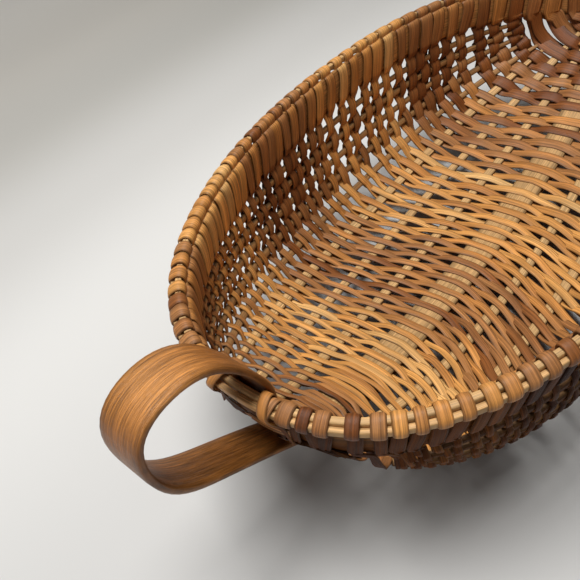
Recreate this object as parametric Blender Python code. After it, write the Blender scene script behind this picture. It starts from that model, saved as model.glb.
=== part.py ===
"""Winnowing basket.

An oval, deep, ribbed basket: two rim rods over a flat rim band, a wide centre
rib and eight narrow ribs on each side, cane woven across the ribs and wrapped
over the rim, and a looped strap handle at each end.  Long axis X, up Z, the
two strap undersides rest on Z = 0 at the middle of the length.
Lengths below are millimetres; the scene is built in metres.
"""
import bpy
import bmesh
import numpy as np

MM = 0.001
BASKET = "winnowing_basket"

# ---------------------------------------------------------------- rim and bowl
# The bowl's own outline is the middle of the rim band; the rods sit outside it.
HALF_LENGTH = 245.5
HALF_WIDTH = 127.5
RIM_HEIGHT = 131.0
END_DROP = 16.5
PLAN_POWER_X = 2.37
PLAN_POWER_Y = 2.36
KEEL_POWER_X = 2.00
KEEL_POWER_Z = 2.34
SECTION_POWER_Y = 3.22
SECTION_POWER_Z = 5.58

# ------------------------------------------------------------------ stock sizes
GAP = 0.3
ROD_OUT = 4.5
INNER_ROD_WIDTH = 3.8
INNER_ROD_HEIGHT = 4.5
OUTER_ROD_WIDTH = 2.8
OUTER_ROD_HEIGHT = 4.0
OUTER_ROD_LOWER = 1.7
ROD_CHAMFER = 0.9
BAND_THICKNESS = 2.5
BAND_TOP = 5.0
BAND_BOTTOM = 27.0
RIB_WIDTH = 7.0
RIB_THICKNESS = 3.0
CENTRE_RIB_WIDTH = 23.0
CANE_THICKNESS = 1.0
STRAP_WIDTH = 23.0
STRAP_THICKNESS = 3.5

# ----------------------------------------------------------------- rib layout
FLOOR_RIBS = (0.293, 0.534, 0.749)
WALL_RIBS = (0.757, 0.604, 0.450, 0.297, 0.143)
RIB_COUNT = len(FLOOR_RIBS) + len(WALL_RIBS)
RIB_SHARE = 0.50
RIB_MIN_WIDTH = 3.0
RIB_BELOW_BAND = 5.0
CANE_BELOW_BAND = 9.0

# --------------------------------------------------------------- woven courses
COURSE_COUNT = 16
COURSE_START = 0.056
COURSE_GAP = 0.0011
END_CROWDING = 0.55
CANE_MARGIN = 1.0
WRAP_CLEAR = 0.6
WRAP_TAIL = 29.0

# ------------------------------------------------------------------- handles
# Loop control points: (along X from the rim end, above the rim end).
LOOP = ((8.6, -6.0), (8.6, 6.0), (-10.0, 42.0), (-34.0, 51.0), (-58.0, 42.0),
        (-54.0, 1.0), (-29.0, -18.0), (8.0, -46.0))
TAIL_LENGTH = 15.0
LEG_MEETS_BOWL = 16.5
LEG_CLEAR = 0.6
FLAT_HALF_LENGTH = 52.0
STRAP_BUTT = 1.0
LASH_WIDTH = 7.0
LASH_OFFSET = 16.2
PIECE_SHARP_ANGLE = 0.7

STRAP_STEP = RIB_THICKNESS / 2 + GAP + CANE_THICKNESS + GAP + STRAP_THICKNESS / 2
FLOOR_LEVEL = STRAP_STEP + STRAP_THICKNESS / 2
CANE_STEP = RIB_THICKNESS / 2 + GAP + CANE_THICKNESS / 2
ROD_SPAN = INNER_ROD_WIDTH + GAP + OUTER_ROD_WIDTH
INNER_ROD_INSET = -ROD_OUT + (ROD_SPAN - INNER_ROD_WIDTH) / 2
OUTER_ROD_INSET = -ROD_OUT - (ROD_SPAN - OUTER_ROD_WIDTH) / 2
INNER_ROD_LIFT = OUTER_ROD_LOWER * OUTER_ROD_WIDTH / (INNER_ROD_WIDTH + OUTER_ROD_WIDTH)
OUTER_ROD_LIFT = INNER_ROD_LIFT - OUTER_ROD_LOWER


# ------------------------------------------------------------------ bowl shape
def half_width(x):
    return HALF_WIDTH * np.clip(1 - np.abs(x / HALF_LENGTH) ** PLAN_POWER_X, 0, 1) ** (1 / PLAN_POWER_Y)


def rim_level(x):
    return RIM_HEIGHT - END_DROP * (x / HALF_LENGTH) ** 2


def bowl_depth(x):
    full = RIM_HEIGHT - FLOOR_LEVEL
    return full * np.clip(1 - np.abs(x / HALF_LENGTH) ** KEEL_POWER_X, 0, 1) ** (1 / KEEL_POWER_Z)


def depth_share(s):
    """Depth of the bowl at the fraction s of the half width, as a share of full depth."""
    return np.clip(1 - np.abs(s) ** SECTION_POWER_Y, 0, 1) ** (1 / SECTION_POWER_Z)


def width_share(share):
    return np.clip(1 - share ** SECTION_POWER_Z, 0, 1) ** (1 / SECTION_POWER_Y)


def bowl_point(x, s):
    return np.stack([x, half_width(x) * s, rim_level(x) - bowl_depth(x) * depth_share(s)], -1)


# Grid of lengthwise lines on one half of the bowl, with their running lengths.
X_GRID = -HALF_LENGTH * np.cos(np.linspace(0, np.pi, 601))
S_GRID = np.concatenate([np.linspace(0, 0.88, 50), width_share(np.linspace(0.82, 0.06, 70))])
SHARE_GRID = depth_share(S_GRID)
LINES = np.array([bowl_point(X_GRID, np.full_like(X_GRID, s)) for s in S_GRID])
STEPS = np.linalg.norm(np.diff(LINES, axis=1), axis=2)
RUNS = np.concatenate([np.zeros((len(S_GRID), 1)), np.cumsum(STEPS, axis=1)], axis=1)


def crossline(t):
    """Points of the cross line at lengthwise fraction t, from the keel to the rim."""
    x = np.array([np.interp(t * run[-1], run, X_GRID) for run in RUNS])
    return bowl_point(x, S_GRID)


def inward_normals(t):
    step = 0.002
    along = crossline(t + step) - crossline(t - step)
    across = np.gradient(crossline(t), axis=0)
    normal = np.cross(along, across)
    return normal / np.linalg.norm(normal, axis=1)[:, None]


def rib_share_offsets(points):
    """How far each cross-line point lies past every rib, negative on the keel side."""
    hang = np.clip(BAND_BOTTOM / np.maximum(bowl_depth(points[:, 0]), 1e-6), 0, 0.97)
    rows = [S_GRID - s for s in FLOOR_RIBS]
    rows += [hang + (1 - hang) * share - SHARE_GRID for share in WALL_RIBS]
    return rows


class CrossLine:
    """One cross line with its running length, rib crossings and rib widths."""

    def __init__(self, t):
        self.t = t
        self.points = crossline(t)
        self.normals = inward_normals(t)
        steps = np.linalg.norm(np.diff(self.points, axis=0), axis=1)
        self.run = np.concatenate([[0.0], np.cumsum(steps)])
        self.rib = np.array([np.interp(0.0, row, self.run) for row in rib_share_offsets(self.points)])
        drop = rim_level(self.points[:, 0]) - self.points[:, 2]
        self.drop = np.interp(self.rib, self.run, drop)
        room = np.diff(np.concatenate([[0.0], self.rib]))
        after = np.concatenate([room[1:], room[-1:]])
        self.width = np.minimum(RIB_WIDTH, RIB_SHARE * np.minimum(room, after))
        centre_room = 2 * (self.rib[0] - self.width[0] / 2 - 2 * CANE_MARGIN - 0.4)
        self.centre_width = min(CENTRE_RIB_WIDTH, centre_room)

    def at(self, run, lift, side):
        """Point at a running length from the keel, lifted towards the inside."""
        place = np.array([np.interp(run, self.run, self.points[:, k]) for k in range(3)])
        normal = np.array([np.interp(run, self.run, self.normals[:, k]) for k in range(3)])
        point = place + lift * normal / np.linalg.norm(normal)
        return point * np.array([1.0, side, 1.0])


def course_edges():
    """Lengthwise fractions where the woven courses begin and end, crowded at the ends."""
    even = np.linspace(0, 1, COURSE_COUNT + 1)
    crowded = 0.5 - 0.5 * np.cos(np.pi * even)
    mixed = (1 - END_CROWDING) * even + END_CROWDING * crowded
    return COURSE_START + (1 - 2 * COURSE_START) * mixed


EDGES = course_edges()
STATIONS = np.sort(np.concatenate([EDGES[:-1] + COURSE_GAP, EDGES[1:] - COURSE_GAP]))
CROSS = [CrossLine(t) for t in STATIONS]
for first, second in zip(CROSS[::2], CROSS[1::2]):
    lowest = np.minimum(first.drop, second.drop)
    skipped = np.minimum(first.width, second.width) < RIB_MIN_WIDTH
    skipped |= lowest < BAND_BOTTOM + RIB_BELOW_BAND
    for line in (first, second):
        line.width[skipped] = 0.0
        line.crossed = [i for i in range(RIB_COUNT)
                        if not skipped[i] or lowest[i] > BAND_BOTTOM + CANE_BELOW_BAND]


# ------------------------------------------------------------------ rim course
def rim_outline():
    angle = np.linspace(0, 2 * np.pi, 2881)
    x = -HALF_LENGTH * np.cos(angle)
    y = -half_width(x) * np.sign(np.sin(angle))
    y[np.abs(np.sin(angle)) < 1e-9] = 0.0
    return np.stack([x, y], -1)


OUTLINE = rim_outline()
OUTLINE_RUN = np.concatenate([[0.0], np.cumsum(np.linalg.norm(np.diff(OUTLINE, axis=0), axis=1))])
RIM_LENGTH = OUTLINE_RUN[-1]


def rim_frame(r):
    """Rim centre-line point and unit inward direction; r runs 0..2 around the rim."""
    run = (r % 2.0) / 2.0 * RIM_LENGTH

    def place(d):
        wrapped = (run + d) % RIM_LENGTH
        return np.array([np.interp(wrapped, OUTLINE_RUN, OUTLINE[:, k]) for k in (0, 1)])

    here = place(0.0)
    tangent = place(1.5) - place(-1.5)
    tangent /= np.linalg.norm(tangent)
    inward = np.array([-tangent[1], tangent[0], 0.0])
    if inward[:2] @ here > 0:
        inward = -inward
    return np.array([here[0], here[1], rim_level(here[0])]), inward


def rim_place(r, inset, drop):
    point, inward = rim_frame(r)
    return point + inward * inset - np.array([0.0, 0.0, drop])


def rim_stations():
    ends = np.linspace(-STATIONS[0], STATIONS[0], 9)[1:-1]
    near = STATIONS
    far = 2.0 - STATIONS[::-1]
    right = 1.0 + ends
    left = ends % 2.0
    return np.sort(np.concatenate([near, far, right, left]))


RIM_STATIONS = rim_stations()


def offset_path(path, distance):
    """Mitred copy of an open 2-D path, moved to its left by a distance."""
    path = np.array(path, float)
    out = []
    for i, p in enumerate(path):
        before = path[max(i - 1, 0)]
        after = path[min(i + 1, len(path) - 1)]
        first = p - before if i else after - p
        second = after - p if i < len(path) - 1 else p - before
        first = first / np.linalg.norm(first)
        second = second / np.linalg.norm(second)
        mean = first + second
        mean = mean / np.linalg.norm(mean)
        normal = np.array([-mean[1], mean[0]])
        stretch = max(first @ mean, 0.5)
        out.append(p + normal * distance / stretch)
    return np.array(out)


def wrap_path():
    """Centre line of a cane over the rim: up inside the band, over the rods, down outside."""
    off = WRAP_CLEAR + CANE_THICKNESS / 2
    band = BAND_THICKNESS / 2 + off
    inner = INNER_ROD_INSET + INNER_ROD_WIDTH / 2 + off
    outer = OUTER_ROD_INSET - OUTER_ROD_WIDTH / 2 - off
    top = INNER_ROD_LIFT + INNER_ROD_HEIGHT / 2 + off
    shoulder = OUTER_ROD_LIFT + OUTER_ROD_HEIGHT / 2 + off / 2
    under = OUTER_ROD_LIFT - OUTER_ROD_HEIGHT / 2 - off
    middle = -ROD_OUT
    corner = ROD_CHAMFER + off / 2
    inside = [(band, -WRAP_TAIL), (band, under), (inner, INNER_ROD_LIFT - INNER_ROD_HEIGHT / 2 + corner),
              (inner, top - corner), (inner - corner, top)]
    outside = [(middle, top), (outer + corner, shoulder), (outer, shoulder - corner),
               (outer, under + corner), (outer + corner, under),
               (-band, under - band - off), (-band, -WRAP_TAIL)]
    return inside + outside


WRAP = wrap_path()
WRAP_NEAR = offset_path(WRAP, CANE_THICKNESS / 2)
WRAP_FAR = offset_path(WRAP, -CANE_THICKNESS / 2)


# ----------------------------------------------------------------- mesh helpers
def wipe_scene():
    for item in list(bpy.data.objects):
        bpy.data.objects.remove(item, do_unlink=True)


def material(name, colour, roughness):
    made = bpy.data.materials.get(name) or bpy.data.materials.new(name)
    made.use_nodes = True
    shader = made.node_tree.nodes["Principled BSDF"]
    shader.inputs["Base Color"].default_value = (*colour, 1.0)
    shader.inputs["Roughness"].default_value = roughness
    made.diffuse_color = (*colour, 1.0)
    return made


def add_part(name, rings, closed, colour, roughness):
    """Loft equal rings of points (mm) into one closed solid about its own middle."""
    rings = np.array([np.array(ring, float) for ring in rings]) * MM
    middle = (rings.min(axis=(0, 1)) + rings.max(axis=(0, 1))) / 2
    size = rings.shape[1]
    mesh = bmesh.new()
    rows = [[mesh.verts.new(tuple(p - middle)) for p in ring] for ring in rings]
    last = len(rows) if closed else len(rows) - 1
    for i in range(last):
        a = rows[i]
        b = rows[(i + 1) % len(rows)]
        for j in range(size):
            k = (j + 1) % size
            mesh.faces.new((a[j], a[k], b[k], b[j]))
    if not closed:
        mesh.faces.new(rows[0])
        mesh.faces.new(list(reversed(rows[-1])))
    bmesh.ops.recalc_face_normals(mesh, faces=mesh.faces)
    if mesh.calc_volume(signed=True) < 0:
        bmesh.ops.reverse_faces(mesh, faces=mesh.faces)
    bmesh.ops.triangulate(mesh, faces=mesh.faces)
    data = bpy.data.meshes.new(name)
    mesh.to_mesh(data)
    mesh.free()
    data.polygons.foreach_set("use_smooth", [True] * len(data.polygons))
    data.set_sharp_from_angle(angle=PIECE_SHARP_ANGLE)
    data.materials.append(material("mat_" + name, colour, roughness))
    item = bpy.data.objects.new(name, data)
    item.location = middle.tolist()
    item.parent = bpy.data.objects[BASKET]
    bpy.context.scene.collection.objects.link(item)
    return item


# ------------------------------------------------------------------ rim pieces
def rod(name, inset, lift, width, height):
    w = width / 2
    h = height / 2
    c = ROD_CHAMFER
    section = [(-w, -h + c), (-w + c, -h), (w - c, -h), (w, -h + c),
               (w, h - c), (w - c, h), (-w + c, h), (-w, h - c)]
    rings = [[rim_place(r, inset + x, -lift - z) for x, z in section] for r in RIM_STATIONS]
    add_part(name, rings, True, (0.66, 0.45, 0.24), 0.5)


def rim_band():
    w = BAND_THICKNESS / 2
    section = [(-w, BAND_TOP), (w, BAND_TOP), (w, BAND_BOTTOM), (-w, BAND_BOTTOM)]
    rings = [[rim_place(r, x, drop) for x, drop in section] for r in RIM_STATIONS]
    add_part("rim_band", rings, True, (0.45, 0.30, 0.16), 0.6)


# ------------------------------------------------------------------------ ribs
def rib(name, index, side):
    half = RIB_THICKNESS / 2
    rings = []
    for line in CROSS:
        if line.width[index] < RIB_MIN_WIDTH:
            continue
        left = line.rib[index] - line.width[index] / 2
        right = line.rib[index] + line.width[index] / 2
        rings.append([line.at(left, half, side), line.at(right, half, side),
                      line.at(right, -half, side), line.at(left, -half, side)])
    add_part(name, rings, False, (0.70, 0.48, 0.25), 0.55)


def centre_rib():
    half = RIB_THICKNESS / 2
    rings = []
    for line in CROSS:
        edge = line.centre_width / 2
        rings.append([line.at(edge, half, -1), line.at(0.0, half, 1), line.at(edge, half, 1),
                      line.at(edge, -half, 1), line.at(0.0, -half, 1), line.at(edge, -half, -1)])
    add_part("centre_rib", rings, False, (0.72, 0.50, 0.27), 0.5)


# --------------------------------------------------------------- woven courses
def course_ring(line, course, t_rim):
    """Near and far points of one edge of a woven course, from one rim to the other."""
    half = CANE_THICKNESS / 2
    crossings = [(0.0, line.centre_width, 0)]
    crossings += [(line.rib[i], line.width[i], i + 1) for i in line.crossed]

    def half_path(side):
        rows = []
        for run, width, index in crossings:
            lift = CANE_STEP * (1 if (index + course) % 2 else -1)
            places = [run - width / 2 - CANE_MARGIN, run + width / 2 + CANE_MARGIN]
            if index == 0:
                places = places[1:]
            if width == 0.0:
                places = [run]
                lift = 0.0
            for place in places:
                rows.append((line.at(place, lift - half, side), line.at(place, lift + half, side)))
        r = t_rim if side < 0 else 2.0 - t_rim
        for near, far in zip(WRAP_NEAR, WRAP_FAR):
            rows.append((rim_place(r, near[0], -near[1]), rim_place(r, far[0], -far[1])))
        return rows

    return list(reversed(half_path(-1))) + half_path(1)


def course(index):
    first = CROSS[2 * index]
    second = CROSS[2 * index + 1]
    a = course_ring(first, index, first.t)
    b = course_ring(second, index, second.t)
    rings = [[p[0], p[1], q[1], q[0]] for p, q in zip(a, b)]
    shade = 0.85 + 0.15 * ((index * 7) % 5) / 4
    add_part("weaver_%02d" % (index + 1), rings, False,
             (0.56 * shade, 0.36 * shade, 0.17 * shade), 0.5)


# --------------------------------------------------------------------- handles
def smooth_curve(points, count):
    """Uniform cubic B-spline through the neighbourhood of control points, ends clamped."""
    points = np.array(points, float)
    points = np.concatenate([[2 * points[0] - points[1]], points, [2 * points[-1] - points[-2]]])
    out = []
    for u in np.linspace(0, len(points) - 3 - 1e-9, count):
        i = int(u)
        f = u - i
        weights = np.array([(1 - f) ** 3, 3 * f ** 3 - 6 * f ** 2 + 4,
                            -3 * f ** 3 + 3 * f ** 2 + 3 * f + 1, f ** 3]) / 6
        out.append(weights @ points[i:i + 4])
    return np.array(out)


def keel_line(lift):
    """Side view (x, z) of the keel, moved towards the inside by lift."""
    t = np.linspace(0.07, 0.5, 160)
    keel = np.array([crossline(v)[0] for v in t])[:, [0, 2]]
    tangent = np.gradient(keel, axis=0)
    tangent /= np.linalg.norm(tangent, axis=1)[:, None]
    return keel + lift * np.stack([-tangent[:, 1], tangent[:, 0]], -1)


def strap_path():
    end = np.array([-HALF_LENGTH - ROD_OUT, rim_level(HALF_LENGTH)])
    loop = [end + np.array(p) for p in LOOP]
    tail = loop[0] - np.array([0.0, TAIL_LENGTH])
    under = keel_line(-STRAP_STEP - LEG_CLEAR)
    meet = under[under[:, 0] > -HALF_LENGTH + LEG_MEETS_BOWL]
    flat = -FLAT_HALF_LENGTH
    level = STRAP_THICKNESS / 2
    hugging = list(meet[meet[:, 0] < flat - 22.0][::7])
    rest = [np.array([flat, level]), np.array([-STRAP_BUTT, level])]
    curve = smooth_curve([tail] + loop + hugging, 4 * (len(loop) + 1) + 2 * len(hugging))
    return np.concatenate([curve, rest])


def strap(name, mirror):
    path = strap_path()
    side = STRAP_WIDTH / 2
    outer = offset_path(path, STRAP_THICKNESS / 2)
    inner = offset_path(path, -STRAP_THICKNESS / 2)
    rings = []
    for a, b in zip(outer, inner):
        rings.append([(a[0] * mirror, -side, a[1]), (a[0] * mirror, side, a[1]),
                      (b[0] * mirror, side, b[1]), (b[0] * mirror, -side, b[1])])
    add_part(name, rings, False, (0.50, 0.28, 0.12), 0.35)


def lashing(name, r):
    """A closed cane ring round both rods and the band, beside a handle."""
    below = -BAND_BOTTOM - WRAP_CLEAR - CANE_THICKNESS / 2
    path = [p for p in WRAP if p[1] > -WRAP_TAIL + 1]
    band = BAND_THICKNESS / 2 + WRAP_CLEAR + CANE_THICKNESS / 2
    loop = [(band, below)] + path + [(-band, below)]
    closed = [loop[-1]] + loop + [loop[0]]
    near = offset_path(closed, CANE_THICKNESS / 2)[1:-1]
    far = offset_path(closed, -CANE_THICKNESS / 2)[1:-1]
    half = LASH_WIDTH / 2 * 2.0 / RIM_LENGTH
    rings = []
    for a, b in zip(near, far):
        rings.append([rim_place(r - half, a[0], -a[1]), rim_place(r + half, a[0], -a[1]),
                      rim_place(r + half, b[0], -b[1]), rim_place(r - half, b[0], -b[1])])
    add_part(name, rings, True, (0.46, 0.28, 0.13), 0.5)


def build():
    wipe_scene()
    bpy.context.scene.collection.objects.link(bpy.data.objects.new(BASKET, None))
    rod("rim_rod_outer", OUTER_ROD_INSET, OUTER_ROD_LIFT, OUTER_ROD_WIDTH, OUTER_ROD_HEIGHT)
    rod("rim_rod_inner", INNER_ROD_INSET, INNER_ROD_LIFT, INNER_ROD_WIDTH, INNER_ROD_HEIGHT)
    rim_band()
    centre_rib()
    for index in range(RIB_COUNT):
        rib("rib_near_%d" % (index + 1), index, -1)
        rib("rib_far_%d" % (index + 1), index, 1)
    for index in range(COURSE_COUNT):
        course(index)
    strap("handle_left", 1)
    strap("handle_right", -1)
    shift = LASH_OFFSET * 2.0 / RIM_LENGTH
    lashing("lashing_left_near", shift)
    lashing("lashing_left_far", 2.0 - shift)
    lashing("lashing_right_near", 1.0 - shift)
    lashing("lashing_right_far", 1.0 + shift)


build()
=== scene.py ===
"""The looks of a winnowing basket: ribs, woven cane, wrapped rim and strap handles.

Lengths are millimetres until a mesh is made. The bowl's own coordinates are t, how far
along the basket (0 at the left end, 1 at the right end), and s, how far out from the keel
to the rim (0 to 1). The rim's own coordinate is r, which goes 0 to 2 round it.
"""
import math
import bpy
import numpy as np
from mathutils import Matrix, Vector


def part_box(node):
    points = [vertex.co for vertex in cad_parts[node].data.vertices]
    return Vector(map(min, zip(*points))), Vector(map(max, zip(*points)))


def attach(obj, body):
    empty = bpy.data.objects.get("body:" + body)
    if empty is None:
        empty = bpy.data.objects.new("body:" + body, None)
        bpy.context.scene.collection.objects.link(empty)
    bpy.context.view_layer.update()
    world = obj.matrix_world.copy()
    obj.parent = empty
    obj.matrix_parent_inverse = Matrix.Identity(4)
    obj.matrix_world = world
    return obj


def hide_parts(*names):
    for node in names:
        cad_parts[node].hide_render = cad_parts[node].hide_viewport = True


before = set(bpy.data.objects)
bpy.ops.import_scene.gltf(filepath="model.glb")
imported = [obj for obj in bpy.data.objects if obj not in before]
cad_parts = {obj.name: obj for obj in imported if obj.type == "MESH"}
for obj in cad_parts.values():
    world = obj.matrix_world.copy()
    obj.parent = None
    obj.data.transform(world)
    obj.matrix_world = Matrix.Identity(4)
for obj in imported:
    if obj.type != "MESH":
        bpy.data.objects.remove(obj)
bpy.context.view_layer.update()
MM = 0.001
rng = np.random.default_rng(11)


def node_box(node):
    """The lowest and highest corner of a CAD node."""
    low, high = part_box(node)
    return np.array(low) / MM, np.array(high) / MM


def smooth(share):
    """Share from 0 to 1 with a soft start and a soft end."""
    share = np.clip(share, 0, 1)
    return share * share * (3 - 2 * share)


def unit(v):
    return v / np.maximum(np.linalg.norm(v, axis=-1, keepdims=True), 1e-9)


def running_length(points):
    """Length along a line of points, up to each of them."""
    steps = np.linalg.norm(np.diff(points, axis=0), axis=1)
    return np.concatenate([[0.0], np.cumsum(steps)])


# ---- chosen sizes, and sizes from the frame
ROD_OUT = 4.5
ROD_GAP = 0.3
INNER_ROD_WIDTH = 3.8
INNER_ROD_HEIGHT = 4.5
OUTER_ROD_WIDTH = 2.8
OUTER_ROD_HEIGHT = 4.0
OUTER_ROD_LOWER = 1.7
ROD_SIDES = 14
ROD_SQUARENESS = 0.45
RIB_THICKNESS = 3.0
BAND_THICKNESS = 2.5
BAND_TOP = 5.0
BAND_SHOWN_TOP = 1.4
BAND_BOTTOM = 27.0
STRAP_THICKNESS = 3.5
FLOOR_RIB_WIDTH = 7.2
WALL_RIB_WIDTH = 5.2
BAND_LOW, BAND_HIGH = node_box("rim_band")
KEEL_LOW, KEEL_HIGH = node_box("centre_rib")
STRAP_LOW, STRAP_HIGH = node_box("handle_left")
HALF_LENGTH = BAND_HIGH[0] - BAND_THICKNESS / 2
HALF_WIDTH = BAND_HIGH[1] - BAND_THICKNESS / 2
RIM_HEIGHT = BAND_HIGH[2] + BAND_TOP
END_DROP = RIM_HEIGHT - BAND_BOTTOM - BAND_LOW[2]
FLOOR_LEVEL = KEEL_LOW[2] + RIB_THICKNESS / 2
CENTRE_RIB_WIDTH = KEEL_HIGH[1] - KEEL_LOW[1]
STRAP_WIDTH = STRAP_HIGH[1] - STRAP_LOW[1]
ROD_SPAN = INNER_ROD_WIDTH + ROD_GAP + OUTER_ROD_WIDTH
INNER_ROD_INSET = -ROD_OUT + (ROD_SPAN - INNER_ROD_WIDTH) / 2
OUTER_ROD_INSET = -ROD_OUT - (ROD_SPAN - OUTER_ROD_WIDTH) / 2
INNER_ROD_LIFT = OUTER_ROD_LOWER * OUTER_ROD_WIDTH / (INNER_ROD_WIDTH + OUTER_ROD_WIDTH)
OUTER_ROD_LIFT = INNER_ROD_LIFT - OUTER_ROD_LOWER

# The bowl's outline from above, along the keel and across, as powers of rounded ovals.
PLAN_POWER_X = 2.37
PLAN_POWER_Y = 2.36
KEEL_POWER_X = 2.00
KEEL_POWER_Z = 2.34
SECTION_POWER_Y = 3.22
SECTION_POWER_Z = 5.58
# Floor ribs by their share of the half width, wall ribs by their share of the depth below the band.
FLOOR_RIBS = (0.293, 0.534, 0.749)
WALL_RIBS = (0.757, 0.604, 0.450, 0.297, 0.143)
RIB_COUNT = len(FLOOR_RIBS) + len(WALL_RIBS)
# A rib takes at most this share of the room between ribs, and ends where it gets too thin.
RIB_SHARE = 0.47
RIB_THINNEST = 2.9
WOVEN_RIB_WIDTH = 2.6
WOVEN_BELOW_BAND = 4.0
CENTRE_RIB_THINNEST = 6.0
CENTRE_RIB_ROOM = 1.0
CENTRE_RIB_TUCK = 4.0
DEEPEST_BAND_SHARE = 0.97

# ---- the cane
FLOOR_CANE_WIDTH = 5.9
WALL_CANE_WIDTH = 7.4
END_CANE_WIDTH = 4.8
NEAR_WALL_CANE_WIDTH = 6.4
NEAR_END_CANE_WIDTH = 3.7
NEAR_WRAP_WIDTH = 6.8
FAR_WRAP_WIDTH = 9.2
# The cane grows wider towards the right end: (share of the passes, factor).
WIDER_PLACES = ((0.0, 1.0), (0.55, 1.0), (0.70, 1.25), (0.82, 1.55), (1.0, 1.50))
# Wall cane changes width (from this x, over this length): the far wall's narrows going left, and
# the near wall's widens going right.
END_NARROWS = (-60.0, 110.0)
NEAR_WIDENS = (-190.0, 140.0)
WIDTH_BLEND = 7
WALL_DARKER = 0.18
RIM_DARKER = 0.22
WALL_START = 12.0
WALL_FULL = 60.0
CANE_THICKNESS = 1.15
RIM_THICKER = 0.5
WRAP_COUNT = 45
PASS_COUNT = 2 * WRAP_COUNT
# Where passes lie, as (share of the passes, fraction of the length) on the keel and each rim.
KEEL_PLACES = ((0.0, 0.056), (0.12, 0.122), (0.35, 0.295), (0.59, 0.50), (0.71, 0.61), (0.82, 0.745),
               (0.92, 0.86), (1.0, 0.944))
NEAR_RIM_PLACES = ((0.0, 0.016), (0.10, 0.030), (0.35, 0.195), (0.47, 0.285), (0.59, 0.395), (0.80, 0.66),
                   (1.0, 0.952))
FAR_RIM_PLACES = ((0.0, 0.042), (0.35, 0.280), (0.52, 0.405), (0.59, 0.458), (0.82, 0.725), (1.0, 0.952))
# No wrap crosses the near rod before this pass: the lashing has that stretch.
FIRST_NEAR_WRAP = 8
# How far the two strips that share a wrap are drawn together on each rim: 0 to 1.
NEAR_PAIRING = 0.8
FAR_PAIRING = 0.66
# A pass climbs the wall upright from this t off either end, fully so after the next stretch.
UPRIGHT_FROM = 0.10
UPRIGHT_OVER = 0.14
FLOOR_TURN = 0.66
# Left of this x every pass goes over the centre rib, and stands a little proud of it.
ALL_OVER_KEEL_TO = -150.0
RIDGE_LIFT = 1.2
LEVEL_SHARE = 0.42
LINE_PAST_BAND = 1.5
BAND_CROSSING = 4.0
DRIFT_STEP = 16
DRIFT_SIZE = 0.5
DRIFT_MEETS = 15.0
COURSE_COUNT = 16
STATION_STEP = 2.8
FEWEST_STATIONS = 8


# ---- bowl shape
def half_width(x):
    """Half the bowl's width at the rim."""
    share = np.clip(1 - np.abs(x / HALF_LENGTH) ** PLAN_POWER_X, 0, 1)
    return HALF_WIDTH * share ** (1 / PLAN_POWER_Y)


def rim_level(x):
    """Height of the rim, which falls towards the ends."""
    return RIM_HEIGHT - END_DROP * (x / HALF_LENGTH) ** 2


def bowl_depth(x):
    """How far the keel lies below the rim."""
    share = np.clip(1 - np.abs(x / HALF_LENGTH) ** KEEL_POWER_X, 0, 1)
    return (RIM_HEIGHT - FLOOR_LEVEL) * share ** (1 / KEEL_POWER_Z)


def depth_share(s):
    """Share of the depth at a place across the bowl."""
    return np.clip(1 - np.abs(s) ** SECTION_POWER_Y, 0, 1) ** (1 / SECTION_POWER_Z)


def width_share(share):
    """The place across the bowl with this share of the depth."""
    return np.clip(1 - share ** SECTION_POWER_Z, 0, 1) ** (1 / SECTION_POWER_Y)


def bowl_point(x, s):
    return np.stack([x, half_width(x) * s, rim_level(x) - bowl_depth(x) * depth_share(s)], -1)


# Places from keel to rim: even steps of width over the floor, then of depth up the wall.
FLOOR_PLACES = np.linspace(0, 0.88, 56)
WALL_PLACES = width_share(np.linspace(0.83, 0.06, 84))
S_GRID = np.concatenate([FLOOR_PLACES, WALL_PLACES])
SHARE_GRID = depth_share(S_GRID)
T_GRID = np.linspace(0.02, 0.98, 385)


def bowl_grid():
    """Bowl points on a grid of t (rows) and s (columns)."""
    x = -HALF_LENGTH * np.cos(np.linspace(0, np.pi, 901))
    grid = np.zeros((len(T_GRID), len(S_GRID), 3))
    for j, s in enumerate(S_GRID):
        line = bowl_point(x, np.full_like(x, s))
        run = running_length(line)
        for k in range(3):
            grid[:, j, k] = np.interp(T_GRID * run[-1], run, line[:, k])
    return grid


GRID = bowl_grid()
ALONG = np.gradient(GRID, axis=0)
ALONG /= np.linalg.norm(ALONG, axis=2)[:, :, None]
NORMAL = np.cross(ALONG, np.gradient(GRID, axis=1))
NORMAL /= np.linalg.norm(NORMAL, axis=2)[:, :, None]


def rows_at(table, t):
    """One value of table for every column of the grid, at that column's own t."""
    place = (t - T_GRID[0]) / (T_GRID[1] - T_GRID[0])
    low = np.clip(place.astype(int), 0, len(T_GRID) - 2)
    part = (place - low)[:, None]
    column = np.arange(len(S_GRID))
    return table[low, column] * (1 - part) + table[low + 1, column] * part


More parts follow.
